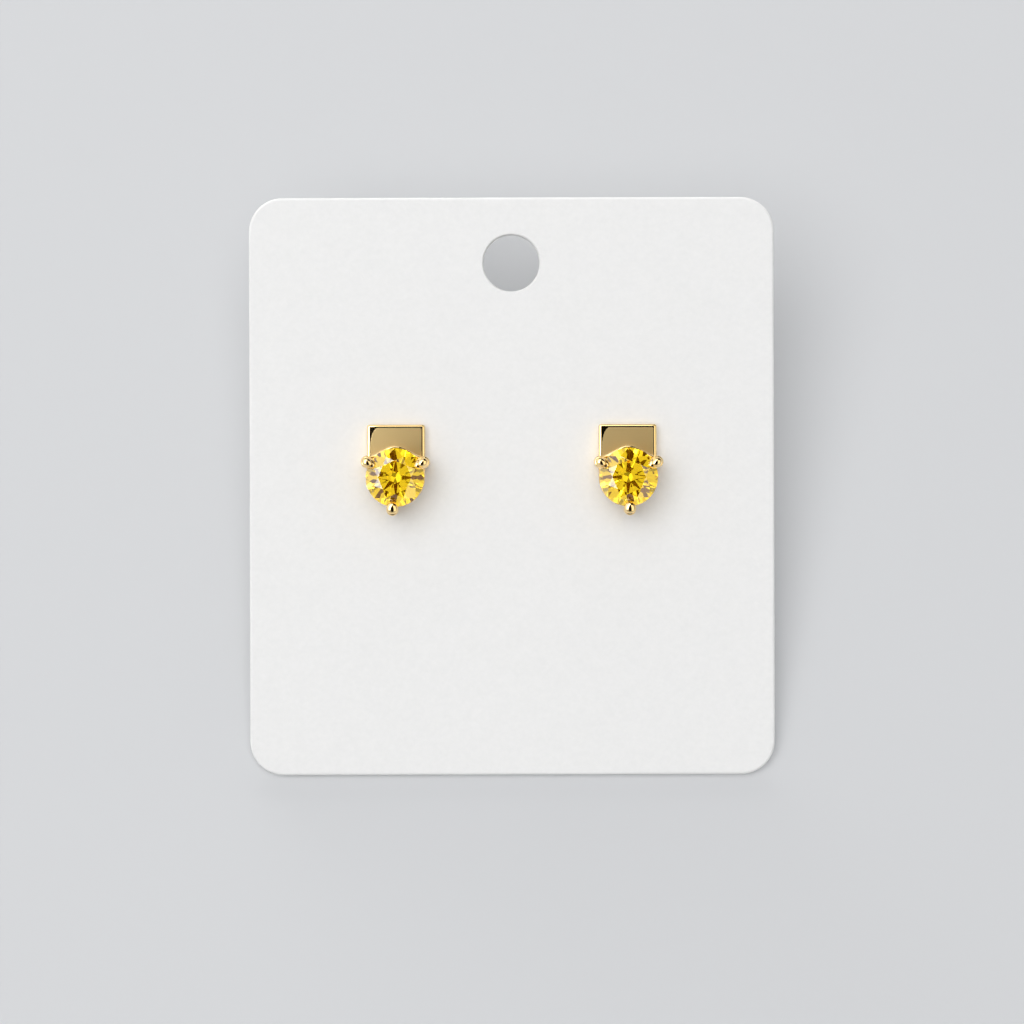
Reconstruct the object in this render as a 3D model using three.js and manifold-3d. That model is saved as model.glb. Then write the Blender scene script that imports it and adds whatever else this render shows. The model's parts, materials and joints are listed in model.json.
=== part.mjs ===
// A pair of stud earrings on a white display card. Each stud is a flat squarish plate with a round
// yellow stone held in three ball-tipped prongs. Its post goes through the card to an ear nut behind.
// Everything is drawn on the card lying flat, in millimetres: X across, Y up the card, Z out of its
// face, with the card's back at Z = 0. The whole is then tilted, as it rests on its posts' tips.

import * as THREE from 'three';
import { mergeVertices } from 'three/addons/utils/BufferGeometryUtils.js';
import Module from 'manifold-3d';

const wasm = await Module();
wasm.setup();

const CARD = { width: 50, height: 55, thickness: 0.8, cornerRadius: 3.2 };
const HANG_HOLE = { radius: 2.75, belowTop: 6.25 };
const STUDS = [
  { side: 'left', x: -11, prongAngles: [28, 151, 265] },
  { side: 'right', x: 11, prongAngles: [28, 152, 272] },
];
const PLATE = {
  width: 5.5,
  height: 5.2,
  thickness: 1,
  edgeRadius: 0.22,
  cornerRadius: 0.3,
  topAboveCardFoot: 33.35,
};
const POST = { radius: 0.45, length: 10, tipRadius: 0.3, holeRadius: 0.6 };
const STONE = {
  radius: 2.75,
  girdle: 0.2,
  tableShare: 0.57,
  starShare: 0.5,
  lowerHalfShare: 0.77,
  crownAngle: 34.5,
  pavilionAngle: 40.75,
  belowPlateTop: 5.05,
  culetClearance: 0.15,
};
const PRONG = { shaftRadius: 0.57, axisRadius: 3.05 };
// Of each ellipsoid: its place out from the stone's axis, its rise over the girdle, and its half
// lengths along the prong's radius, across it and up.
const UPPER_TIP = {
  claw: { out: 2.78, rise: 0.12, halves: [0.74, 0.54, 0.42] },
  ball: { out: 2.95, rise: 0.45, halves: [0.55, 0.42, 0.42] },
};
const LOWER_TIP = {
  claw: { out: 2.85, rise: 0.12, halves: [0.6, 0.54, 0.42] },
  ball: { out: 2.78, rise: 0.45, halves: [0.43, 0.48, 0.42] },
};
const BASE_RING = { radius: 2.4, wireRadius: 0.35 };
const SEAT_RAIL = { radius: 2.42, wireRadius: 0.3, belowGirdle: 0.7 };
const GALLERY_ARCH = {
  wireRadius: 0.2,
  apexFromStone: 2.8,
  apexBendRadius: 1.4,
  footFromStone: 3.25,
  belowGirdle: 0.45,
};
const EAR_NUT = {
  stripThickness: 0.35,
  loopRadius: 1,
  loopOffset: 1.55,
  width: 3.5,
  length: 6.2,
  boreRadius: 0.5,
};
const GAP = 0.05;

const FACE_Z = CARD.thickness;
const PLATE_BACK_Z = FACE_Z + GAP;
const PLATE_FRONT_Z = PLATE_BACK_Z + PLATE.thickness;
const POST_Y = PLATE.topAboveCardFoot - PLATE.height / 2;
const POST_TIP_Z = PLATE_BACK_Z - POST.length;
const STONE_Y = PLATE.topAboveCardFoot - STONE.belowPlateTop;
const CROWN_SLOPE = Math.tan(THREE.MathUtils.degToRad(STONE.crownAngle));
const CROWN_HEIGHT = STONE.radius * (1 - STONE.tableShare) * CROWN_SLOPE;
const PAVILION_DEPTH = STONE.radius * Math.tan(THREE.MathUtils.degToRad(STONE.pavilionAngle));
const GIRDLE_FOOT_Z = PLATE_FRONT_Z + STONE.culetClearance + PAVILION_DEPTH;
const GIRDLE_TOP_Z = GIRDLE_FOOT_Z + STONE.girdle;

// At rest the card leans back on its lower edge and on the rims of the two posts' flat tips.
const REST_TILT = Math.atan2(-POST_TIP_Z, POST_Y - POST.tipRadius);
const REST_DEPTH = CARD.height * Math.cos(REST_TILT) - CARD.thickness * Math.sin(REST_TILT);

const ROUND_STEPS = 32;
const WIRE_STEPS = 8;
const POST_STEPS = 12;
const ARCH_STEPS = 6;

const paper = new THREE.MeshStandardMaterial({ color: 0xf1f0ee, roughness: 0.9, metalness: 0 });
const gold = new THREE.MeshStandardMaterial({ color: 0xd8b470, roughness: 0.12, metalness: 1 });
const yellowStone = new THREE.MeshStandardMaterial({ color: 0xe3bd1f, roughness: 0.02, metalness: 0 });

function toSolid(geometry) {
  const bare = geometry.clone();
  bare.deleteAttribute('normal');
  bare.deleteAttribute('uv');
  const merged = mergeVertices(bare, 1e-4);
  const vertProperties = new Float32Array(merged.attributes.position.array);
  const triVerts = new Uint32Array(merged.index.array);
  return new wasm.Manifold(new wasm.Mesh({ numProp: 3, vertProperties, triVerts }));
}

function toGeometry(solid) {
  const mesh = solid.getMesh();
  const geometry = new THREE.BufferGeometry();
  geometry.setAttribute('position', new THREE.BufferAttribute(mesh.vertProperties, 3));
  geometry.setIndex(new THREE.BufferAttribute(mesh.triVerts, 1));
  geometry.computeVertexNormals();
  return geometry;
}

function roundedRectangle(width, height, radius) {
  const shape = new THREE.Shape();
  const x = width / 2 - radius;
  const y = height / 2 - radius;
  shape.absarc(x, y, radius, 0, Math.PI / 2);
  shape.absarc(-x, y, radius, Math.PI / 2, Math.PI);
  shape.absarc(-x, -y, radius, Math.PI, 1.5 * Math.PI);
  shape.absarc(x, -y, radius, 1.5 * Math.PI, 2 * Math.PI);
  return shape;
}

function roundHole(x, y, radius) {
  return new THREE.Path().absarc(x, y, radius, 0, 2 * Math.PI);
}

// A closed turning about the Z axis, from a list of [radius, z] pairs.
function turned(profile, steps) {
  const points = profile.map(([radius, z]) => new THREE.Vector2(radius, z));
  return new THREE.LatheGeometry(points, steps).rotateX(Math.PI / 2);
}

function rod(radius, lowZ, highZ, steps) {
  return new THREE.CylinderGeometry(radius, radius, highZ - lowZ, steps)
    .rotateX(Math.PI / 2)
    .translate(0, 0, (lowZ + highZ) / 2);
}

// Stiff white card with rounded corners, a hang hole near the top and a small hole for each post.
function displayCard() {
  const outline = roundedRectangle(CARD.width, CARD.height, CARD.cornerRadius);
  const middleY = CARD.height / 2;
  outline.holes.push(roundHole(0, middleY - HANG_HOLE.belowTop, HANG_HOLE.radius));
  for (const stud of STUDS) {
    outline.holes.push(roundHole(stud.x, POST_Y - middleY, POST.holeRadius));
  }
  const sheet = { depth: CARD.thickness, bevelEnabled: false, curveSegments: 12 };
  return new THREE.ExtrudeGeometry(outline, sheet).translate(0, middleY, 0);
}

// Everything on the far side of a facet's plane. The plane passes through the point at this radius
// and height, and its slope is counted from level: up for the crown, down for the pavilion.
function facetWaste(azimuth, slope, radius, height, side, growth) {
  const tilt = THREE.MathUtils.degToRad(slope);
  const turn = THREE.MathUtils.degToRad(azimuth);
  const normal = new THREE.Vector3(
    Math.sin(tilt) * Math.cos(turn),
    Math.sin(tilt) * Math.sin(turn),
    side * Math.cos(tilt),
  );
  const point = new THREE.Vector3(radius * Math.cos(turn), radius * Math.sin(turn), height);
  point.addScaledVector(normal, growth);
  const size = 6 * STONE.radius;
  const block = new THREE.BoxGeometry(size, size, size).translate(0, 0, size / 2);
  block.applyQuaternion(new THREE.Quaternion().setFromUnitVectors(new THREE.Vector3(0, 0, 1), normal));
  return toSolid(block.translate(point.x, point.y, point.z));
}

function slopeBetween(rise, run) {
  return THREE.MathUtils.radToDeg(Math.atan2(rise, run));
}

// A round brilliant on the Z axis, its girdle's foot at Z = 0. Growth moves every face outwards.
function brilliant(growth) {
  const eighth = 45;
  const halfTurn = THREE.MathUtils.degToRad(eighth / 2);
  const chordRadius = STONE.radius * Math.cos(halfTurn / 2);
  const tableCorner = STONE.radius * STONE.tableShare;
  const tableEdge = tableCorner * Math.cos(halfTurn);
  const starTip = tableEdge + STONE.starShare * (STONE.radius - tableEdge);
  const starDrop = (starTip * Math.cos(halfTurn) - tableCorner) * CROWN_SLOPE;
  const upperHalfRise = CROWN_HEIGHT - starDrop;
  const upperHalfRun = chordRadius - starTip * Math.cos(halfTurn / 2);
  const lowerTip = STONE.radius * (1 - STONE.lowerHalfShare);
  const lowerHalfRise = PAVILION_DEPTH * (1 - (lowerTip / STONE.radius) * Math.cos(halfTurn));
  const lowerHalfRun = chordRadius - lowerTip * Math.cos(halfTurn / 2);
  const starSlope = slopeBetween(starDrop, starTip - tableEdge);
  const upperHalfSlope = slopeBetween(upperHalfRise, upperHalfRun);
  const lowerHalfSlope = slopeBetween(lowerHalfRise, lowerHalfRun);

  const tableHeight = STONE.girdle + CROWN_HEIGHT;
  const blank = rod(STONE.radius + growth, -PAVILION_DEPTH - growth, tableHeight + growth, 2 * ROUND_STEPS);
  let stone = toSolid(blank);
  for (let main = 0; main < 360; main += eighth) {
    const waste = [
      facetWaste(main, STONE.crownAngle, STONE.radius, STONE.girdle, 1, growth),
      facetWaste(main + eighth / 2, starSlope, tableEdge, tableHeight, 1, growth),
      facetWaste(main + eighth / 4, upperHalfSlope, chordRadius, STONE.girdle, 1, growth),
      facetWaste(main - eighth / 4, upperHalfSlope, chordRadius, STONE.girdle, 1, growth),
      facetWaste(main, STONE.pavilionAngle, STONE.radius, 0, -1, growth),
      facetWaste(main + eighth / 4, lowerHalfSlope, chordRadius, 0, -1, growth),
      facetWaste(main - eighth / 4, lowerHalfSlope, chordRadius, 0, -1, growth),
    ];
    for (const block of waste) {
      stone = stone.subtract(block);
    }
  }
  return stone.translate(0, 0, GIRDLE_FOOT_Z);
}

function wireRing(ring, z) {
  const torus = new THREE.TorusGeometry(ring.radius, ring.wireRadius, WIRE_STEPS, ROUND_STEPS);
  return torus.translate(0, 0, z);
}

function ellipsoid({ out, rise, halves }, tilt) {
  return new THREE.SphereGeometry(1, POST_STEPS, POST_STEPS / 2)
    .rotateX(Math.PI / 2)
    .scale(...halves)
    .rotateY(tilt)
    .translate(out, 0, GIRDLE_TOP_Z + rise);
}

// One round prong. Its end is pressed over the stone's edge as a claw that lies along the crown, with
// a ball worked on top. The upper two run down the plate's sides, and the lower one ends on the base
// ring.
function prong(angle) {
  const isLower = angle > 180;
  const footZ = isLower ? PLATE_FRONT_Z - BASE_RING.wireRadius : PLATE_BACK_Z;
  const tip = isLower ? LOWER_TIP : UPPER_TIP;
  const shaft = rod(PRONG.shaftRadius, footZ, GIRDLE_TOP_Z, POST_STEPS).translate(PRONG.axisRadius, 0, 0);
  const claw = ellipsoid(tip.claw, THREE.MathUtils.degToRad(STONE.crownAngle));
  const ball = ellipsoid(tip.ball, 0);
  return toSolid(shaft).add(toSolid(claw)).add(toSolid(ball)).rotate([0, 0, angle]);
}

// A thin wire that joins the two upper prongs over the plate: straight from each prong, with one
// round bend at the apex.
function galleryArch(prongAngles) {
  const z = GIRDLE_FOOT_Z - GALLERY_ARCH.belowGirdle;
  const foot = (angle) => {
    const turn = THREE.MathUtils.degToRad(angle);
    return new THREE.Vector2(Math.cos(turn), Math.sin(turn)).multiplyScalar(GALLERY_ARCH.footFromStone);
  };
  const right = foot(prongAngles[0]);
  const left = foot(prongAngles[1]);
  const bend = GALLERY_ARCH.apexBendRadius;
  const bendMiddle = new THREE.Vector2(0, GALLERY_ARCH.apexFromStone - bend);
  const tangentTurn = (end, side) => {
    const reach = end.clone().sub(bendMiddle);
    return reach.angle() + side * Math.acos(bend / reach.length());
  };
  const start = tangentTurn(right, 1);
  const stop = tangentTurn(left, -1);
  const points = [right];
  for (let step = 0; step <= ARCH_STEPS; step += 1) {
    const turn = start + ((stop - start) * step) / ARCH_STEPS;
    points.push(new THREE.Vector2(bend * Math.cos(turn), bend * Math.sin(turn)).add(bendMiddle));
  }
  points.push(left);
  const path = new THREE.CurvePath();
  for (let k = 1; k < points.length; k += 1) {
    const [from, to] = [points[k - 1], points[k]].map((p) => new THREE.Vector3(p.x, p.y, z));
    path.add(new THREE.LineCurve3(from, to));
  }
  const section = new THREE.Shape().absarc(0, 0, GALLERY_ARCH.wireRadius, 0, 2 * Math.PI);
  return new THREE.ExtrudeGeometry(section, {
    steps: 2 * ARCH_STEPS,
    curveSegments: WIRE_STEPS,
    extrudePath: path,
  });
}

// Polished, nearly square plate with softened edges, and the plain post soldered to its back.
function plateAndPost() {
  const edge = PLATE.edgeRadius;
  const [flatWidth, flatHeight] = [PLATE.width, PLATE.height].map((size) => size - 2 * edge);
  const outline = roundedRectangle(flatWidth, flatHeight, PLATE.cornerRadius - edge);
  const plate = new THREE.ExtrudeGeometry(outline, {
    depth: PLATE.thickness - 2 * edge,
    bevelThickness: edge,
    bevelSize: edge,
    bevelSegments: 3,
    curveSegments: 4,
  }).translate(0, 0, PLATE_BACK_Z + edge);
  const chamfer = POST.radius - POST.tipRadius;
  const post = turned([
    [0, POST_TIP_Z],
    [POST.tipRadius, POST_TIP_Z],
    [POST.radius, POST_TIP_Z + chamfer],
    [POST.radius, PLATE_BACK_Z + PLATE.thickness / 2],
    [0, PLATE_BACK_Z + PLATE.thickness / 2],
  ], POST_STEPS);
  return toSolid(plate).add(toSolid(post)).translate(0, POST_Y, 0);
}

// The soldered metal of one stud: plate, post, two rings and an arch of round wire, and three
// notched prongs.
function studMetal(prongAngles) {
  let basket = toSolid(wireRing(BASE_RING, PLATE_FRONT_Z));
  basket = basket.add(toSolid(wireRing(SEAT_RAIL, GIRDLE_FOOT_Z - SEAT_RAIL.belowGirdle)));
  basket = basket.add(toSolid(galleryArch(prongAngles)));
  for (const angle of prongAngles) {
    basket = basket.add(prong(angle));
  }
  const seated = basket.subtract(brilliant(GAP)).translate(0, STONE_Y, 0);
  return toGeometry(plateAndPost().add(seated));
}

// Ear nut of rolled strip: a flat base with a hole for the post, and a loop at each end whose lip
// turns back to the post. Its outline is drawn in the plane of the strip's edge and trimmed oval.
function earNut() {
  const t = EAR_NUT.stripThickness;
  const outer = EAR_NUT.loopRadius + t / 2;
  const inner = EAR_NUT.loopRadius - t / 2;
  const offset = EAR_NUT.loopOffset;
  const quarter = Math.PI / 2;
  const profile = new THREE.Shape();
  profile.absarc(offset, 0, outer, quarter, -quarter, true);
  profile.lineTo(EAR_NUT.boreRadius, -outer);
  profile.lineTo(EAR_NUT.boreRadius, -inner);
  profile.absarc(offset, 0, inner, -quarter, quarter, false);
  profile.absarc(-offset, 0, inner, quarter, 3 * quarter, false);
  profile.lineTo(-EAR_NUT.boreRadius, -inner);
  profile.lineTo(-EAR_NUT.boreRadius, -outer);
  profile.absarc(-offset, 0, outer, 3 * quarter, quarter, true);
  const strip = new THREE.ExtrudeGeometry(profile, {
    depth: EAR_NUT.width,
    bevelEnabled: false,
    curveSegments: 12,
  }).translate(0, 0, -EAR_NUT.width / 2).rotateX(quarter);
  const oval = new THREE.Shape().absellipse(0, 0, EAR_NUT.length / 2, EAR_NUT.width / 2, 0, 2 * Math.PI);
  const trim = new THREE.ExtrudeGeometry(oval, {
    depth: 4 * outer,
    bevelEnabled: false,
    curveSegments: ROUND_STEPS,
  }).translate(0, 0, -2 * outer);
  const bore = rod(EAR_NUT.boreRadius, -2 * outer, 2 * outer, POST_STEPS);
  const nut = toSolid(strip).intersect(toSolid(trim)).subtract(toSolid(bore));
  return toGeometry(nut.translate(0, POST_Y, -2 * GAP - outer));
}

const resting = new THREE.Group();
resting.rotation.x = REST_TILT;
resting.position.y = -REST_DEPTH / 2;

function place(name, geometry, material, x, y) {
  const mesh = new THREE.Mesh(geometry, material);
  mesh.name = name;
  mesh.position.set(x, y, 0);
  resting.add(mesh);
}

place('display_card', displayCard(), paper, 0, 0);
const stoneGeometry = toGeometry(brilliant(0));
const earNutGeometry = earNut();
for (const stud of STUDS) {
  place(`${stud.side}_stud`, studMetal(stud.prongAngles), gold, stud.x, 0);
  place(`${stud.side}_stone`, stoneGeometry, yellowStone, stud.x, STONE_Y);
  place(`${stud.side}_ear_nut`, earNutGeometry, gold, stud.x, 0);
}

const model = new THREE.Group();
model.add(resting);

export default model;
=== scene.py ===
import json
import math

import bmesh
import bpy
from mathutils import Matrix, Vector


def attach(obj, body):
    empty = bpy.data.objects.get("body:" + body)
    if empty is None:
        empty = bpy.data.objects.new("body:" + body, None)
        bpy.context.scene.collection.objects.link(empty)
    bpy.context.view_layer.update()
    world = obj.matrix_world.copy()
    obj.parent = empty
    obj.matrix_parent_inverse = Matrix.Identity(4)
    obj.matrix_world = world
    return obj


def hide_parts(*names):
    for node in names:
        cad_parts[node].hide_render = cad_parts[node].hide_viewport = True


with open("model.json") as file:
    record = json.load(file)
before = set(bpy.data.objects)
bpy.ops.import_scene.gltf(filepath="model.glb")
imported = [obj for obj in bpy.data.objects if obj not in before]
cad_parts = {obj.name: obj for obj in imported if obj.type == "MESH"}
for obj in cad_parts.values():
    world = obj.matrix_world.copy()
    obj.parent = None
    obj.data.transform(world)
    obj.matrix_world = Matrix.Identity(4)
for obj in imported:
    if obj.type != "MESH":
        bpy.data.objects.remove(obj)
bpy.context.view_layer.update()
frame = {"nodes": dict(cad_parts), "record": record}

# The display card: stiff white board, 0.8 mm thick, die-cut with a round hang hole near the top and
# a small hole for each post. The die rounds the card's edges a little, and its punch leaves the hang
# hole narrower at the back.
CARD_WIDTH, CARD_HEIGHT, CARD_THICKNESS = 50.0, 55.0, 0.8
CARD_CORNER_RADIUS, CARD_CORNER_STEPS = 3.2, 14
CARD_EDGE_RADIUS, CARD_EDGE_STEPS = 0.28, 5
HANG_HOLE_RADIUS, HANG_HOLE_BELOW_TOP, HANG_HOLE_STEPS = 2.75, 6.25, 96
HANG_HOLE_EDGE_RADIUS, HANG_HOLE_TAPER = 0.14, 0.1
POST_HOLE_RADIUS, POST_HOLE_STEPS = 0.6, 32

# Every piece is drawn on the card laid flat, in millimetres: X across the card, Y up it from the
# foot, Z out of its face, and the back at Z = 0. Then it is laid in its place, in metres.
MM = 0.001
card_foot = next(mount for mount in frame["record"]["mounts"] if mount["name"] == "card_foot")
up_card = -Vector(card_foot["axis"]).normalized()
across_card = Vector((1, 0, 0))
out_of_card = across_card.cross(up_card)
card_turn = Matrix((across_card, up_card, out_of_card)).transposed()
foot_of_back = Vector(card_foot["pos_m"]) - out_of_card * CARD_THICKNESS / 2 * MM
card_in_frame = Matrix.Translation(foot_of_back) @ card_turn.to_4x4() @ Matrix.Scale(MM, 4)
frame_on_card = card_in_frame.inverted()


def middle_on_card(node):
    """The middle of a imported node's box, on the card laid flat."""
    points = [frame_on_card @ vertex.co for vertex in frame["nodes"][node].data.vertices]
    low = Vector([min(values) for values in zip(*points)])
    high = Vector([max(values) for values in zip(*points)])
    return (low + high) / 2


def new_object(name, bm, material):
    """An object of one material from a finished bmesh."""
    mesh = bpy.data.meshes.new(name)
    bm.to_mesh(mesh)
    bm.free()
    mesh.materials.append(material)
    made = bpy.data.objects.new(name, mesh)
    bpy.context.scene.collection.objects.link(made)
    return made


def finish_piece(name, bm, material, node, is_smooth=lambda face: True):
    """Lays a drawn shape in its place on the card, as one object that stands for the node."""
    bm.normal_update()
    for face in bm.faces:
        face.smooth = is_smooth(face)
    bmesh.ops.transform(bm, matrix=card_in_frame, verts=bm.verts)
    piece = new_object(name, bm, material)
    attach(piece, "root")
    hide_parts(node)


def srgb(code):
    """The linear colour of an sRGB hex code."""
    channels = [int(code[i:i + 2], 16) / 255 for i in (0, 2, 4)]
    return [c / 12.92 if c <= 0.04045 else ((c + 0.055) / 1.055) ** 2.4 for c in channels] + [1.0]


def new_material(name):
    """A new material with its node tree and its shader."""
    material = bpy.data.materials.new(name)
    material.use_nodes = True
    return material, material.node_tree, material.node_tree.nodes["Principled BSDF"]


def add_node(tree, kind, inputs, **settings):
    """Adds a node with its settings. An input is a value, or another node's output to link."""
    made = tree.nodes.new(kind)
    for setting, value in settings.items():
        setattr(made, setting, value)
    for socket, value in inputs.items():
        if isinstance(value, bpy.types.NodeSocket):
            tree.links.new(value, made.inputs[socket])
        else:
            made.inputs[socket].default_value = value
    return made


def per_mm(feature_mm):
    """The texture scale at which a pattern's features have this size in millimetres."""
    return 1 / (feature_mm * MM)


def edge_profile(radius):
    """(inset, z) pairs from the card's back, round its back edge, up its wall and round its front."""
    turns = [math.pi / 2 * step / CARD_EDGE_STEPS for step in range(CARD_EDGE_STEPS + 1)]
    back = [(radius * (1 - math.sin(a)), radius * (1 - math.cos(a))) for a in turns]
    return back + [(inset, CARD_THICKNESS - z) for inset, z in reversed(back)]


def card_outline(bm, inset, z):
    """The edges of the card's outline, this far in from its side."""
    half = Matrix.Diagonal((CARD_WIDTH / 2 - inset, CARD_HEIGHT / 2 - inset, 1, 1))
    place = Matrix.Translation((0, CARD_HEIGHT / 2, z)) @ half
    made = bmesh.ops.create_grid(bm, x_segments=1, y_segments=1, size=1, matrix=place)
    corners = bmesh.ops.bevel(
        bm, geom=made["verts"], offset=CARD_CORNER_RADIUS - inset, segments=CARD_CORNER_STEPS,
        profile=0.5, affect="VERTICES", material=-1, clamp_overlap=False,
    )
    face = corners["verts"][0].link_faces[0]
    edges = face.edges[:]
    bmesh.ops.delete(bm, geom=[face], context="FACES_ONLY")
    return edges


def round_outline(bm, radius, steps, middle):
    """The edges of a circle in the card's plane."""
    place = Matrix.Translation(middle)
    made = bmesh.ops.create_circle(bm, segments=steps, radius=radius, matrix=place)
    return list(dict.fromkeys(edge for vert in made["verts"] for edge in vert.link_edges))


def bridge_all(bm, outlines):
    """Joins each outline to the next with a band of faces."""
    for lower, upper in zip(outlines, outlines[1:]):
        bmesh.ops.bridge_loops(bm, edges=lower + upper)


card = bmesh.new()
rim = [card_outline(card, inset, z) for inset, z in edge_profile(CARD_EDGE_RADIUS)]
bridge_all(card, rim)
hang_hole = []
for inset, z in edge_profile(HANG_HOLE_EDGE_RADIUS):
    radius = HANG_HOLE_RADIUS + inset - HANG_HOLE_TAPER * (1 - z / CARD_THICKNESS)
    middle = Vector((0, CARD_HEIGHT - HANG_HOLE_BELOW_TOP, z))
    hang_hole.append(round_outline(card, radius, HANG_HOLE_STEPS, middle))
bridge_all(card, hang_hole)
openings = [hang_hole]
for side in ("left", "right"):
    x, y, _ = middle_on_card(f"{side}_ear_nut")
    post_hole = [
        round_outline(card, POST_HOLE_RADIUS, POST_HOLE_STEPS, Vector((x, y, z)))
        for z in (0, CARD_THICKNESS)
    ]
    bridge_all(card, post_hole)
    openings.append(post_hole)
for layer in (0, -1):
    edges = rim[layer] + [edge for opening in openings for edge in opening[layer]]
    bmesh.ops.triangle_fill(card, use_beauty=True, edges=edges)
bmesh.ops.recalc_face_normals(card, faces=card.faces)

# Uncoated white paper board: matt, with a faint cloudy formation of fibres and a fine tooth. The
# tooth is drawn coarser than real fibres are, so that it shows.
CLOUD_MM, TOOTH_MM, TOOTH_SHARE, TOOTH_DEPTH_MM = 1.6, 0.45, 0.7, 0.04
paper, tree, shader = new_material("uncoated_white_board")
place = add_node(tree, "ShaderNodeTexCoord", {}).outputs["Object"]
cloud = add_node(
    tree, "ShaderNodeTexNoise",
    {"Vector": place, "Scale": per_mm(CLOUD_MM), "Detail": 4.0, "Roughness": 0.6},
)
tooth = add_node(
    tree, "ShaderNodeTexNoise",
    {"Vector": place, "Scale": per_mm(TOOTH_MM), "Detail": 4.0, "Roughness": 0.7},
)
formation = add_node(
    tree, "ShaderNodeMix",
    {"Factor": TOOTH_SHARE, "A": cloud.outputs["Fac"], "B": tooth.outputs["Fac"]},
    data_type="FLOAT",
).outputs["Result"]
shade = add_node(
    tree, "ShaderNodeMix",
    {"Factor": formation, "A": srgb("eeeeec"), "B": srgb("fdfcfa")},
    data_type="RGBA",
)
bump = add_node(
    tree, "ShaderNodeBump",
    {"Strength": 0.6, "Distance": TOOTH_DEPTH_MM * MM, "Height": formation},
)
tree.links.new(shade.outputs["Result"], shader.inputs["Base Color"])
tree.links.new(bump.outputs["Normal"], shader.inputs["Normal"])
shader.inputs["Roughness"].default_value = 0.85
shader.inputs["Specular IOR Level"].default_value = 0.3
finish_piece(
    "card_board", card, paper, "display_card",
    is_smooth=lambda face: abs(face.normal.z) < 0.999,
)

# The stud plates: nearly square gold-plated plates with a satin face that is crowned by a hair. The
# edges are buffed bright, so the face rolls off gently before the rounded edge, most of all at the
# top left corner. The basket and the post are soldered on.
PLATE_WIDTH, PLATE_HEIGHT, PLATE_THICKNESS = 5.5, 5.2, 1.0
PLATE_EDGE_RADIUS, PLATE_EDGE_STEPS = 0.22, 6
PLATE_TOP, PLATE_GAP, PLATE_CROWN = 33.35, 0.05, 0.03
BUFFED_WIDTH, BUFFED_SLOPE, BUFFED_BLEND = 0.32, 4.0, 0.07
BUFFED_CORNER, BUFFED_TOP_LEFT_CORNER = (0.45, 0.45), (1.05, 3.2)
PLATE_CUTS, PLATE_CUT_SNAP, PLATE_FACE_DEPTH = 80, 0.01, 1e-4
plate_back = CARD_THICKNESS + PLATE_GAP
plate_front = plate_back + PLATE_THICKNESS
post_height = PLATE_TOP - PLATE_HEIGHT / 2


def from_buffed_edge(x, y):
    """How far a point of the face is from the plate's edge, with each corner taken as an oval arc."""
    from_side, from_end = PLATE_WIDTH / 2 - abs(x), PLATE_HEIGHT / 2 - abs(y)
    across, down = BUFFED_TOP_LEFT_CORNER if x < 0 < y else BUFFED_CORNER
    over_x, over_y = 1 - from_side / across, 1 - from_end / down
    if over_x <= 0 or over_y <= 0:
        return min(from_side, from_end)
    reach = (across * over_x ** 2 + down * over_y ** 2) / (over_x ** 2 + over_y ** 2)
    return (1 - math.hypot(over_x, over_y)) * reach


# Gold plating, brushed up and down to a satin: it blurs what it mirrors into one soft gradient. The
# buffed edges mirror sharply, as bright and dark lines.
STROKE_WIDTH_MM, STROKE_LENGTH_MM, BUFFED_ROUGHNESS = 0.06, 4.0, 0.06
stroke_scale = (per_mm(STROKE_WIDTH_MM), per_mm(STROKE_LENGTH_MM), per_mm(STROKE_LENGTH_MM))
satin_gold, tree, shader = new_material("gold_plating_satin_with_buffed_edges")
place = add_node(tree, "ShaderNodeTexCoord", {}).outputs["Object"]
strokes = add_node(tree, "ShaderNodeMapping", {"Vector": place, "Scale": stroke_scale})
brushing = add_node(
    tree, "ShaderNodeTexNoise",
    {"Vector": strokes.outputs["Vector"], "Scale": 1.0, "Detail": 3.0},
)
satin = add_node(
    tree, "ShaderNodeMapRange",
    {"Value": brushing.outputs["Fac"], "To Min": 0.35, "To Max": 0.37},
)
buffed = add_node(tree, "ShaderNodeAttribute", {}, attribute_name="buffed")
finish = add_node(
    tree, "ShaderNodeMix",
    {"Factor": buffed.outputs["Fac"], "A": satin.outputs["Result"], "B": BUFFED_ROUGHNESS},
    data_type="FLOAT",
)
tree.links.new(finish.outputs["Result"], shader.inputs["Roughness"])
# Its base colour is a shade lighter than the polished gold's: painted light that brightens the satin face.
shader.inputs["Base Color"].default_value = srgb("fadb9c")
shader.inputs["Metallic"].default_value = 1.0

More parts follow.
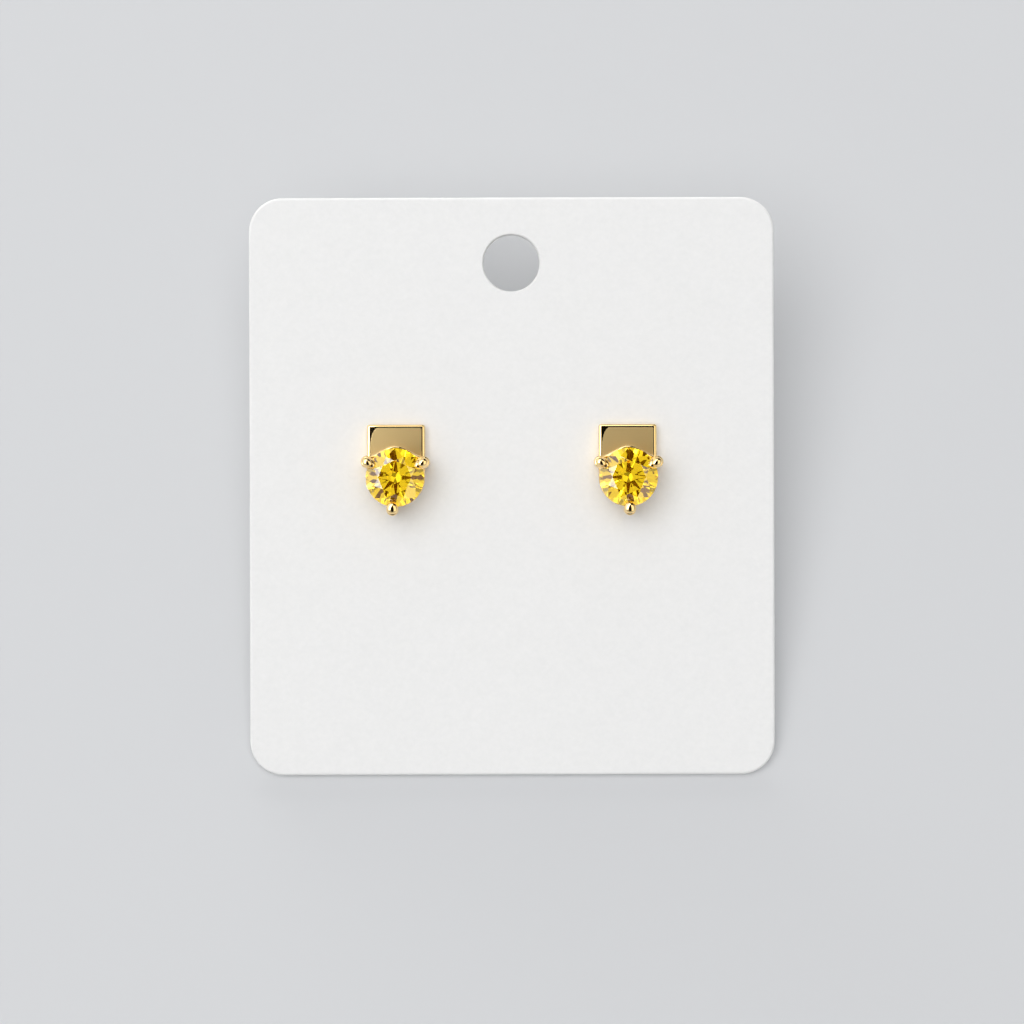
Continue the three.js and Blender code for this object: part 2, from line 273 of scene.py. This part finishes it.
stud_middles = {side: middle_on_card(f"{side}_stone") for side in ("left", "right")}
for side, middle in stud_middles.items():
    plate = bmesh.new()
    size = Matrix.Diagonal((PLATE_WIDTH, PLATE_HEIGHT, PLATE_THICKNESS, 1))
    bmesh.ops.create_cube(plate, size=1, matrix=size)
    bmesh.ops.bevel(
        plate, geom=plate.edges[:], offset=PLATE_EDGE_RADIUS, segments=PLATE_EDGE_STEPS, profile=0.5,
        affect="EDGES", material=-1,
    )
    for step in range(1, PLATE_CUTS):
        for length, axis in ((PLATE_WIDTH, Vector((1, 0, 0))), (PLATE_HEIGHT, Vector((0, 1, 0)))):
            bmesh.ops.bisect_plane(
                plate, geom=plate.verts[:] + plate.edges[:] + plate.faces[:], dist=PLATE_CUT_SNAP,
                plane_co=axis * length * (step / PLATE_CUTS - 0.5), plane_no=axis,
            )
    buffed_at = plate.verts.layers.float.new("buffed")
    for vert in plate.verts:
        beyond = max(BUFFED_WIDTH - from_buffed_edge(vert.co.x, vert.co.y), 0)
        on_face = vert.co.z > PLATE_THICKNESS / 2 - PLATE_FACE_DEPTH
        vert[buffed_at] = min(beyond / BUFFED_BLEND, 1) if on_face else 1
        if vert.co.z > 0:
            vert.co.z -= beyond * math.tan(math.radians(BUFFED_SLOPE))
            vert.co.z -= PLATE_CROWN * vert.co.xy.length_squared / (PLATE_WIDTH / 2) ** 2
    plate_middle = (middle.x, post_height, plate_back + PLATE_THICKNESS / 2)
    bmesh.ops.translate(plate, verts=plate.verts, vec=plate_middle)
    finish_piece(f"{side}_plate", plate, satin_gold, f"{side}_stud")

# The stones: round brilliants of clear golden-yellow zirconia, 5.5 mm across, held by their prongs.
# Each is cut from a turned blank by flat facets: a table, stars, mains and halves on the crown, and
# mains and halves below.
STONE_RADIUS, GIRDLE_THICKNESS, BLANK_STEPS = 2.75, 0.2, 64
TABLE_SHARE, STAR_SHARE, LOWER_HALF_SHARE = 0.57, 0.5, 0.77
CROWN_ANGLE, PAVILION_ANGLE, MAIN_STEP = 34.5, 40.75, 45
CULET_CLEARANCE = 0.15
FACET_SNAP, MERGE_WITHIN = 1e-5, 1e-4
crown_slope = math.tan(math.radians(CROWN_ANGLE))
pavilion_slope = math.tan(math.radians(PAVILION_ANGLE))
crown_height = STONE_RADIUS * (1 - TABLE_SHARE) * crown_slope
pavilion_depth = STONE_RADIUS * pavilion_slope
girdle_foot = plate_front + CULET_CLEARANCE + pavilion_depth
girdle_top = girdle_foot + GIRDLE_THICKNESS

main_to_star = math.radians(MAIN_STEP / 2)
main_to_half = main_to_star / 2
chord_radius = STONE_RADIUS * math.cos(main_to_half)
table_corner = STONE_RADIUS * TABLE_SHARE
table_edge = table_corner * math.cos(main_to_star)
star_tip = table_edge + STAR_SHARE * (STONE_RADIUS - table_edge)
star_drop = (star_tip * math.cos(main_to_star) - table_corner) * crown_slope
lower_tip = STONE_RADIUS * (1 - LOWER_HALF_SHARE)
lower_rise = pavilion_depth * (1 - lower_tip / STONE_RADIUS * math.cos(main_to_star))
upper_half_reach = chord_radius - star_tip * math.cos(main_to_half)
lower_half_reach = chord_radius - lower_tip * math.cos(main_to_half)
star_angle = math.degrees(math.atan2(star_drop, star_tip - table_edge))
upper_half_angle = math.degrees(math.atan2(crown_height - star_drop, upper_half_reach))
lower_half_angle = math.degrees(math.atan2(lower_rise, lower_half_reach))


def closed_and_outward(bm):
    """Merges the seams of a shape and points its faces outwards."""
    bmesh.ops.remove_doubles(bm, verts=bm.verts, dist=MERGE_WITHIN)
    bmesh.ops.recalc_face_normals(bm, faces=bm.faces)
    return bm


def close_ends(bm):
    """Fills each open end of a shape with one face."""
    bmesh.ops.holes_fill(bm, edges=[edge for edge in bm.edges if edge.is_boundary], sides=0)


def cut_facet(bm, azimuth, slope, radius, height, up):
    """Cuts a flat at this radius and height. It faces up where up is 1, and down where it is -1."""
    tilt, turn = math.radians(slope), math.radians(azimuth)
    around = Vector((math.cos(turn), math.sin(turn), 0))
    bmesh.ops.bisect_plane(
        bm, geom=bm.verts[:] + bm.edges[:] + bm.faces[:], dist=FACET_SNAP,
        plane_co=around * radius + Vector((0, 0, height)),
        plane_no=around * math.sin(tilt) + Vector((0, 0, up * math.cos(tilt))),
        clear_outer=True,
    )
    close_ends(bm)


def brilliant():
    """A round brilliant on the Z axis, with its girdle's foot at Z = 0."""
    bm = bmesh.new()
    blank = crown_height + GIRDLE_THICKNESS + pavilion_depth
    bmesh.ops.create_cone(
        bm, cap_ends=True, segments=BLANK_STEPS, radius1=STONE_RADIUS, radius2=STONE_RADIUS,
        depth=blank, matrix=Matrix.Translation((0, 0, blank / 2 - pavilion_depth)),
    )
    table_height = GIRDLE_THICKNESS + crown_height
    for main in range(0, 360, MAIN_STEP):
        cut_facet(bm, main, CROWN_ANGLE, STONE_RADIUS, GIRDLE_THICKNESS, 1)
        cut_facet(bm, main + MAIN_STEP / 2, star_angle, table_edge, table_height, 1)
        cut_facet(bm, main, PAVILION_ANGLE, STONE_RADIUS, 0, -1)
        for half in (-MAIN_STEP / 4, MAIN_STEP / 4):
            cut_facet(bm, main + half, upper_half_angle, chord_radius, GIRDLE_THICKNESS, 1)
            cut_facet(bm, main + half, lower_half_angle, chord_radius, 0, -1)
    return closed_and_outward(bm)


# Clear yellow zirconia, cut and polished: it bends light strongly, and is deeper in colour where the
# light goes further through it.
zirconia, tree, shader = new_material("golden_yellow_zirconia")
shader.inputs["Base Color"].default_value = srgb("fff4b8")
shader.inputs["Roughness"].default_value = 0.0
shader.inputs["IOR"].default_value = 2.0
shader.inputs["Transmission Weight"].default_value = 1.0
depth_colour = add_node(
    tree, "ShaderNodeVolumeAbsorption", {"Color": srgb("fef680"), "Density": 574.0},
)
tree.links.new(depth_colour.outputs["Volume"], tree.nodes["Material Output"].inputs["Volume"])

for side, middle in stud_middles.items():
    stone = brilliant()
    bmesh.ops.translate(stone, verts=stone.verts, vec=(middle.x, middle.y, girdle_foot))
    finish_piece(
        f"{side}_brilliant", stone, zirconia, f"{side}_stone",
        is_smooth=lambda face: False,
    )

# The baskets: rings of drawn gold wire under each stone, a wire arch that joins the upper prongs
# over the plate, and three round prongs, soldered to each other and to the plate. Each prong's end
# is pressed over the stone's edge as a lip that lies on the crown, with a bead worked on top.
BASE_RING_RADIUS, BASE_RING_WIRE = 2.4, 0.35
SEAT_RAIL_RADIUS, SEAT_RAIL_WIRE, SEAT_RAIL_BELOW_GIRDLE = 2.42, 0.3, 0.7
ARCH_APEX, ARCH_BEND_RADIUS, ARCH_WIRE = 2.8, 1.4, 0.2
ARCH_FOOT_OUT, ARCH_BELOW_GIRDLE = 3.25, 0.45
PRONG_RADIUS, PRONG_OUT, PRONG_CHAMFER, PRONG_DOME = 0.57, 3.05, 0.08, 0.2
PRONG_ANGLES = {"left": (28, 151, 265), "right": (28, 152, 272)}

# How far out the lip and the bead sit, and their half lengths outwards, across and up.
TIPS = {
    "upper": {"lip_out": 2.78, "lip": (0.74, 0.54, 0.42), "bead_out": 2.95, "bead": (0.55, 0.42, 0.42)},
    "lower": {"lip_out": 2.88, "lip": (0.66, 0.58, 0.42), "bead_out": 2.88, "bead": (0.58, 0.56, 0.45)},
}
LIP_RISE, LIP_TAPER, BEAD_RISE = 0.12, 0.15, 0.45
SEAT_GAP = 0.02
WIRE_STEPS, RING_STEPS, BEND_STEPS = 20, 96, 16
PRONG_STEPS, PRONG_ROWS, PRONG_DOME_STEPS, BALL_ROWS = 40, 24, 5, 24

# Gold plating, polished to a mirror: bright and dark lines with crisp edges, dulled here and there by
# a wipe of the cloth.
WIPE_MM = 0.6
polished_gold, tree, shader = new_material("gold_plating_mirror_polished")
place = add_node(tree, "ShaderNodeTexCoord", {}).outputs["Object"]
wipe = add_node(
    tree, "ShaderNodeTexNoise", {"Vector": place, "Scale": per_mm(WIPE_MM), "Detail": 3.0},
)
shine = add_node(
    tree, "ShaderNodeMapRange", {"Value": wipe.outputs["Fac"], "To Min": 0.04, "To Max": 0.09},
)
tree.links.new(shine.outputs["Result"], shader.inputs["Roughness"])
shader.inputs["Base Color"].default_value = srgb("f4d598")
shader.inputs["Metallic"].default_value = 1.0


def wire_ring(ring_radius, wire_radius, height):
    """A closed ring of round wire about the Z axis."""
    bm = bmesh.new()
    section = Matrix.Translation((ring_radius, 0, height)) @ Matrix.Rotation(math.pi / 2, 4, "X")
    bmesh.ops.create_circle(bm, segments=WIRE_STEPS, radius=wire_radius, matrix=section)
    bmesh.ops.spin(
        bm, geom=bm.edges[:], cent=(0, 0, 0), axis=(0, 0, 1), angle=math.tau, steps=RING_STEPS,
        use_merge=True,
    )
    return closed_and_outward(bm)


def turned(profile):
    """A closed turning about the Z axis from (radius, z) pairs that start and end on the axis."""
    bm = bmesh.new()
    verts = [bm.verts.new((radius, 0, z)) for radius, z in profile]
    edges = [bm.edges.new(pair) for pair in zip(verts, verts[1:])]
    bmesh.ops.spin(
        bm, geom=verts + edges, cent=(0, 0, 0), axis=(0, 0, 1), angle=math.tau, steps=PRONG_STEPS,
        use_merge=True,
    )
    return closed_and_outward(bm)


def arc(radius, middle_radius, middle_z, start, end, steps):
    """(radius, z) pairs along an arc, its angles in degrees up from level."""
    turns = [math.radians(start + (end - start) * step / steps) for step in range(steps + 1)]
    return [(middle_radius + radius * math.cos(a), middle_z + radius * math.sin(a)) for a in turns]


def stone_radius_at(height):
    """The stone's radius at a height over its girdle's foot, as a plain turning without facets."""
    if height < 0:
        return max(STONE_RADIUS + height / pavilion_slope, 0)
    if height > GIRDLE_THICKNESS:
        return STONE_RADIUS - (height - GIRDLE_THICKNESS) / crown_slope
    return STONE_RADIUS


def seat(bm):
    """Pushes metal that would lie in the stone out to its surface, as the cut seat does."""
    for vert in bm.verts:
        height = vert.co.z - girdle_foot
        clear = stone_radius_at(height) + SEAT_GAP
        out = math.hypot(vert.co.x, vert.co.y)
        if 0 < out < clear and height < GIRDLE_THICKNESS + crown_height:
            vert.co.x *= clear / out
            vert.co.y *= clear / out
    return bm


def shaft(foot):
    """A prong's straight shaft, chamfered at its foot and domed at the girdle's top."""
    straight_foot, straight_top = foot + PRONG_CHAMFER, girdle_top - PRONG_DOME
    profile = [(0, foot), (PRONG_RADIUS - PRONG_CHAMFER, foot)]
    profile += [
        (PRONG_RADIUS, straight_foot + (straight_top - straight_foot) * row / PRONG_ROWS)
        for row in range(PRONG_ROWS + 1)
    ]
    profile += arc(PRONG_DOME, PRONG_RADIUS - PRONG_DOME, straight_top, 0, 90, PRONG_DOME_STEPS)[1:]
    bm = turned(profile + [(0, girdle_top)])
    bmesh.ops.translate(bm, verts=bm.verts, vec=(PRONG_OUT, 0, 0))
    return bm


def oval_ball(halves, out, rise, taper=0.0, lean=0.0):
    """An oval ball over the girdle's top: its half lengths, and how much it tapers and leans in."""
    bm = bmesh.new()
    bmesh.ops.create_uvsphere(bm, u_segments=PRONG_STEPS, v_segments=BALL_ROWS, radius=1)
    for vert in bm.verts:
        vert.co.y *= 1 + taper * vert.co.x
    bmesh.ops.scale(bm, verts=bm.verts, vec=halves)
    leaned = Matrix.Rotation(math.radians(lean), 3, "Y")
    bmesh.ops.rotate(bm, verts=bm.verts, cent=(0, 0, 0), matrix=leaned)
    bmesh.ops.translate(bm, verts=bm.verts, vec=(out, 0, girdle_top + rise))
    return bm


def arch_foot(angle):
    """Where the arch's wire starts, inside the prong at this angle."""
    turn = math.radians(angle)
    out = Vector((math.cos(turn), math.sin(turn), 0)) * ARCH_FOOT_OUT
    return out + Vector((0, 0, girdle_foot - ARCH_BELOW_GIRDLE))


def drawn_on(bm, ring):
    """Extrudes a ring of edges in place, and gives back the new ring and its points."""
    grown = bmesh.ops.extrude_edge_only(bm, edges=ring)["geom"]
    ring = [part for part in grown if isinstance(part, bmesh.types.BMEdge) and part.is_boundary]
    return ring, [part for part in grown if isinstance(part, bmesh.types.BMVert)]


def gallery_arch(right_angle, left_angle):
    """Thin wire from prong to prong: straight, once round the bend at the apex, and straight again."""
    right, left = arch_foot(right_angle), arch_foot(left_angle)
    middle = Vector((0, ARCH_APEX - ARCH_BEND_RADIUS, right.z))
    touching = []
    for foot, side in ((right, 1), (left, -1)):
        reach = foot - middle
        half_wrap = math.acos(ARCH_BEND_RADIUS / reach.length)
        touching.append(math.atan2(reach.y, reach.x) + side * half_wrap)
    leave, join = touching
    bend_start, bend_end = (
        middle + Vector((math.cos(turn), math.sin(turn), 0)) * ARCH_BEND_RADIUS for turn in touching
    )
    bm = bmesh.new()
    upright = Matrix.Rotation(leave, 4, "Z") @ Matrix.Rotation(math.pi / 2, 4, "X")
    section = Matrix.Translation(right) @ upright
    bmesh.ops.create_circle(bm, segments=WIRE_STEPS, radius=ARCH_WIRE, matrix=section)
    ring, points = drawn_on(bm, bm.edges[:])
    bmesh.ops.translate(bm, verts=points, vec=bend_start - right)
    bend_step = Matrix.Rotation((join - leave) / BEND_STEPS, 3, "Z")
    for _ in range(BEND_STEPS):
        ring, points = drawn_on(bm, ring)
        bmesh.ops.rotate(bm, verts=points, cent=middle, matrix=bend_step)
    ring, points = drawn_on(bm, ring)
    bmesh.ops.translate(bm, verts=points, vec=left - bend_end)
    close_ends(bm)
    return closed_and_outward(bm)


for side, middle in stud_middles.items():
    right_angle, left_angle, lower_angle = PRONG_ANGLES[side]
    seat_rail_height = girdle_foot - SEAT_RAIL_BELOW_GIRDLE
    basket = {
        "base_ring": wire_ring(BASE_RING_RADIUS, BASE_RING_WIRE, plate_front),
        "seat_rail": seat(wire_ring(SEAT_RAIL_RADIUS, SEAT_RAIL_WIRE, seat_rail_height)),
        "gallery_arch": gallery_arch(right_angle, left_angle),
    }
    for number, angle in enumerate(PRONG_ANGLES[side], start=1):
        is_lower = angle == lower_angle
        tip = TIPS["lower" if is_lower else "upper"]
        prong = {
            "prong": shaft(plate_front - BASE_RING_WIRE if is_lower else plate_back),
            "prong_lip": oval_ball(tip["lip"], tip["lip_out"], LIP_RISE, LIP_TAPER, CROWN_ANGLE),
            "bead": oval_ball(tip["bead"], tip["bead_out"], BEAD_RISE),
        }
        turn = Matrix.Rotation(math.radians(angle), 3, "Z")
        for kind, bm in prong.items():
            basket[f"{kind}_{number}"] = seat(bm)
            bmesh.ops.rotate(bm, verts=bm.verts, cent=(0, 0, 0), matrix=turn)
    for name, bm in basket.items():
        bmesh.ops.translate(bm, verts=bm.verts, vec=(middle.x, middle.y, 0))
        finish_piece(f"{side}_{name}", bm, polished_gold, f"{side}_stud")

# The posts: plain gold-plated wire of 0.9 mm, soldered to the middle of each plate's back, with the
# tip filed flat and chamfered so that it passes the ear. Its corners are eased by a hair.
POST_RADIUS, POST_TIP_RADIUS, POST_LENGTH, POST_IN_PLATE, POST_EASE = 0.45, 0.3, 10.0, 0.3, 0.01
post_tip = plate_back - POST_LENGTH
chamfer_top = post_tip + POST_RADIUS - POST_TIP_RADIUS
post_profile = [
    (0, post_tip), (POST_TIP_RADIUS - 2 * POST_EASE, post_tip), (POST_TIP_RADIUS, post_tip + POST_EASE),
    (POST_RADIUS - POST_EASE, chamfer_top), (POST_RADIUS, chamfer_top + 3 * POST_EASE),
    (POST_RADIUS, chamfer_top + 10 * POST_EASE), (POST_RADIUS, plate_back),
    (POST_RADIUS, plate_back + POST_IN_PLATE), (0, plate_back + POST_IN_PLATE),
]
for side, middle in stud_middles.items():
    post = turned(post_profile)
    bmesh.ops.translate(post, verts=post.verts, vec=(middle.x, post_height, 0))
    finish_piece(f"{side}_post", post, polished_gold, f"{side}_stud")

# The ear nuts: a strip of gold-plated spring metal, pierced for the post, with both ends rolled back
# into loops that grip it. Each is pushed up to the card's back.
NUT_STRIP, NUT_LOOP_RADIUS, NUT_LOOP_OFFSET, NUT_BORE_RADIUS = 0.35, 1.0, 1.55, 0.5
NUT_HALF_LENGTH, NUT_HALF_WIDTH, NUT_GAP = 3.1, 1.75, 0.1
NUT_LOOP_STEPS, NUT_EDGE, NUT_EDGE_STEPS, NUT_SHARP_ANGLE = 20, 0.05, 2, 40
nut_outer, nut_inner = NUT_LOOP_RADIUS + NUT_STRIP / 2, NUT_LOOP_RADIUS - NUT_STRIP / 2
right_loop = arc(nut_outer, NUT_LOOP_OFFSET, 0, 90, -90, NUT_LOOP_STEPS)
right_loop += [(NUT_BORE_RADIUS, -nut_outer), (NUT_BORE_RADIUS, -nut_inner)]
right_loop += arc(nut_inner, NUT_LOOP_OFFSET, 0, -90, 90, NUT_LOOP_STEPS)
nut_outline = right_loop + [(-x, z) for x, z in reversed(right_loop)]
for side, middle in stud_middles.items():
    nut = bmesh.new()
    end = nut.faces.new([nut.verts.new((x, -NUT_HALF_WIDTH, z)) for x, z in nut_outline])
    grown = bmesh.ops.extrude_face_region(nut, geom=[end])["geom"]
    far_verts = [part for part in grown if isinstance(part, bmesh.types.BMVert)]
    bmesh.ops.translate(nut, verts=far_verts, vec=(0, 2 * NUT_HALF_WIDTH, 0))
    bmesh.ops.recalc_face_normals(nut, faces=nut.faces)
    for vert in nut.verts:
        vert.co.y *= math.sqrt(1 - (vert.co.x / NUT_HALF_LENGTH) ** 2)
    sharp = [edge for edge in nut.edges if edge.calc_face_angle() > math.radians(NUT_SHARP_ANGLE)]
    bmesh.ops.bevel(
        nut, geom=sharp, offset=NUT_EDGE, segments=NUT_EDGE_STEPS, profile=0.5, affect="EDGES",
        material=-1, clamp_overlap=True,
    )
    bmesh.ops.translate(nut, verts=nut.verts, vec=(middle.x, post_height, -NUT_GAP - nut_outer))
    finish_piece(
        f"{side}_nut", nut, polished_gold, f"{side}_ear_nut",
        is_smooth=lambda face: len(face.verts) == 4,
    )

# The studio: a plain pale floor in pale air. A large soft light in front, a little to the upper left,
# and a low one beyond the card's top light the card and the floor. The gold and the stones mirror
# bright panels at the left, top and right, and dark cloth in front. The floor is matt grey paint.
FLOOR_SIZE = 3.0
STUDS_MIDDLE = Vector((0, 29, 2))


def flat_sheet(name, width, height, material):
    """A flat rectangle of one material, in metres."""
    bm = bmesh.new()
    size = Matrix.Diagonal((width, height, 1, 1))
    bmesh.ops.create_grid(bm, x_segments=1, y_segments=1, size=0.5, matrix=size)
    return new_object(name, bm, material)


def matt_material(name, colour, roughness, gloss):
    """Studio paint or cloth, which only has to be plain and matt."""
    material, _, shader = new_material(name)
    shader.inputs["Base Color"].default_value = srgb(colour)
    shader.inputs["Roughness"].default_value = roughness
    shader.inputs["Specular IOR Level"].default_value = gloss
    return material


def face_studs(thing, towards, distance, lean=0):
    """Turns a lamp or a cloth to the studs, in a direction given on the card's own axes."""
    back = Vector(towards).normalized()
    aside = Vector((0, 1, 0)).cross(back).normalized()
    on_card = Matrix((aside, back.cross(aside), back)).transposed()
    turn = card_turn @ (on_card @ Matrix.Rotation(math.radians(lean), 3, "Z"))
    spot = card_in_frame @ (STUDS_MIDDLE + back * distance / MM)
    thing.matrix_world = Matrix.Translation(spot) @ turn.to_4x4()
    thing.visible_camera = False


def panel(name, towards, distance, size, radiance, colour, lean=0, seen_by=("metal", "stones")):
    """A panel of this width and height in metres. Metal, stones or paper (all that is matt) see it."""
    width, height = size
    lamp = bpy.data.lights.new(name, "AREA")
    lamp.shape = "ELLIPSE" if "paper" in seen_by else "RECTANGLE"
    lamp.size = width
    lamp.size_y = height
    lamp.energy = radiance * math.pi * width * height
    lamp.color = srgb(colour)[:3]
    thing = bpy.data.objects.new(name, lamp)
    bpy.context.scene.collection.objects.link(thing)
    face_studs(thing, towards, distance, lean)
    thing.visible_diffuse = "paper" in seen_by
    thing.visible_glossy = "metal" in seen_by
    thing.visible_transmission = "stones" in seen_by


def flag(name, towards, distance, size, cloth, seen_by):
    """A hung cloth of this width and height in metres, which only metal or only stones see."""
    thing = flat_sheet(name, *size, cloth)
    face_studs(thing, towards, distance)
    thing.visible_diffuse = False
    thing.visible_shadow = False
    thing.visible_glossy = seen_by == "metal"
    thing.visible_transmission = seen_by == "stones"


floor_paint = matt_material("pale_grey_studio_floor", "d7d8d9", 0.9, 0.1)
flat_sheet("floor", FLOOR_SIZE, FLOOR_SIZE, floor_paint)

world = bpy.data.worlds.new("studio_air")
world.use_nodes = True
world.node_tree.nodes["Background"].inputs["Color"].default_value = srgb("d4d5d8")
world.node_tree.nodes["Background"].inputs["Strength"].default_value = 0.65
bpy.context.scene.world = world

panel("key_softbox", (-0.22, 0.24, 1.0), 0.75, (0.9, 0.9), 1.5, "ffffff", seen_by=["paper"])
panel("back_softbox", (-0.4, 0.9, -0.1), 0.8, (0.2, 1.6), 3.7, "ffffff", seen_by=["paper"])
panel("near_left_panel", (-0.77, 0.13, 1.0), 0.5, (0.26, 0.75), 4.5, "ffffff", lean=-20, seen_by=["metal"])
panel("stone_left_panel", (-0.8, 0.15, 1.0), 0.5, (0.34, 1.0), 1.4, "ffffff", seen_by=["stones"])
panel("stone_front_panel", (0.0, 0.0, 1.0), 0.8, (0.6, 0.6), 0.56, "fffbe8", seen_by=["stones"])
panel("sparkle_lamp", (-0.3, 0.35, 1.0), 0.7, (0.12, 0.12), 9.0, "ffffff", seen_by=["stones"])
panel("far_left_panel", (-0.95, 0.25, 0.3), 0.5, (0.36, 1.2), 1.0, "ffffff")
panel("top_panel", (-0.15, 1.0, 0.75), 0.55, (0.3, 0.24), 2.5, "ffffff")
panel("right_panel", (0.95, -0.05, 1.0), 0.5, (0.36, 1.1), 1.1, "fff4dc", lean=20)

# Matt studio cloths: the gold mirrors the black ones as dark lines, and the stones the brown strips
# as dark gold facets.
black_cloth = matt_material("black_studio_cloth", "0c0a09", 1.0, 0.0)
brown_cloth = matt_material("brown_studio_cloth", "7a5620", 1.0, 0.0)
flag("camera_flag", (0.0, -0.25, 1.0), 0.8, (0.6, 2.2), black_cloth, "metal")
flag("corner_flag", (0.45, 0.8, 0.35), 0.6, (0.5, 0.6), black_cloth, "metal")
for number, aside in enumerate((-0.2, -0.07, 0.06, 0.19), start=1):
    flag(f"stone_strip_{number}", (aside, 0.0, 1.0), 0.6, (0.035, 0.5), brown_cloth, "stones")

# Light is followed through many facets, and what gold throws on the card is blurred.
light_paths = bpy.context.scene.cycles
light_paths.max_bounces = light_paths.glossy_bounces = light_paths.transmission_bounces = 14
light_paths.blur_glossy = 20.0

# The camera looks square at the card, as in the photograph: 1024 pixels across, 10.5 for each
# millimetre of the card, with the card's middle a little above the picture's, and rolled by a hair.
PHOTO_SIDE, PIXELS_PER_MM, CARD_MIDDLE_Y, PHOTO_ROLL = 1024, 10.5, 486.0, 0.16
CAMERA_DISTANCE = 300.0
camera_data = bpy.data.cameras.new("camera")
camera_data.sensor_width = 36.0
camera_data.lens = camera_data.sensor_width * CAMERA_DISTANCE / (PHOTO_SIDE / PIXELS_PER_MM)
camera = bpy.data.objects.new("camera", camera_data)
bpy.context.scene.collection.objects.link(camera)
view_height = CARD_HEIGHT / 2 - (PHOTO_SIDE / 2 - CARD_MIDDLE_Y) / PIXELS_PER_MM
view_point = card_in_frame @ Vector((0, view_height, CARD_THICKNESS + CAMERA_DISTANCE))
facing = card_turn @ Matrix.Rotation(math.radians(-PHOTO_ROLL), 3, "Z")
camera.matrix_world = Matrix.Translation(view_point) @ facing.to_4x4()
bpy.context.scene.camera = camera
bpy.context.scene.view_settings.view_transform = "Standard"
